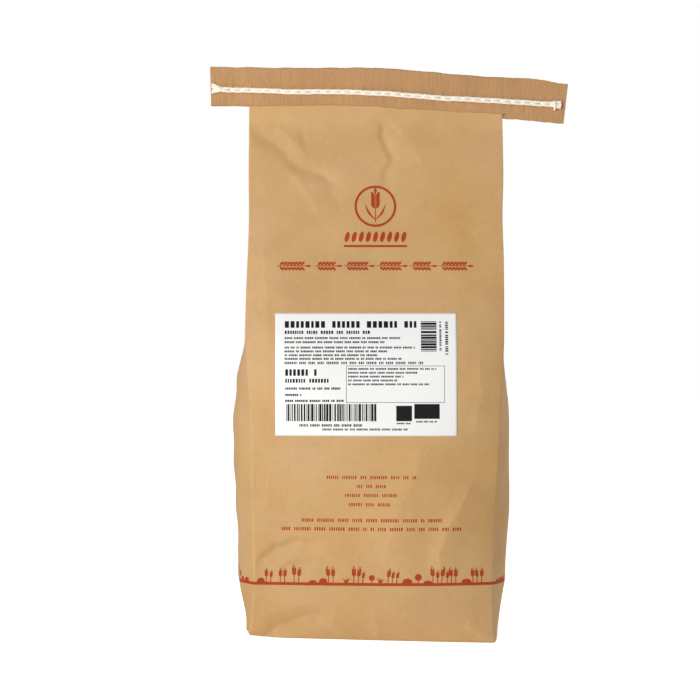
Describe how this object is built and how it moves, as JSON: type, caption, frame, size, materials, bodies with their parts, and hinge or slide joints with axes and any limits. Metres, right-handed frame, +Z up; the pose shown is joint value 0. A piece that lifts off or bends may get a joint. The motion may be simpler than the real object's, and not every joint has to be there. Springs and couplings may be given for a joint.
{
  "type": "bag of flour",
  "caption": "Upright gusseted kraft paper bag of flour with a flat base, its top closed by folded crepe tape and a chain stitch, with a blank front label.",
  "frame": {"origin": "on the floor under the middle of the bag's flat base", "axes": "+Z up, -Y out of the front panel with the label, +X to the right as seen from the front"},
  "size_m": [0.2867, 0.1314, 0.4528],
  "materials": {
    "paper": "uncoated brown kraft paper, matt with a faint sheen on the folds",
    "crepe": "brown crepe paper tape, matt and finely crinkled",
    "cotton": "soft off-white cotton thread",
    "label_paper": "smooth white self-adhesive paper"
  },
  "bodies": {
    "root": {"bag": "paper", "tape": "crepe", "thread_front": "cotton", "thread_back": "cotton", "label": "label_paper"}
  },
  "joints": []
}
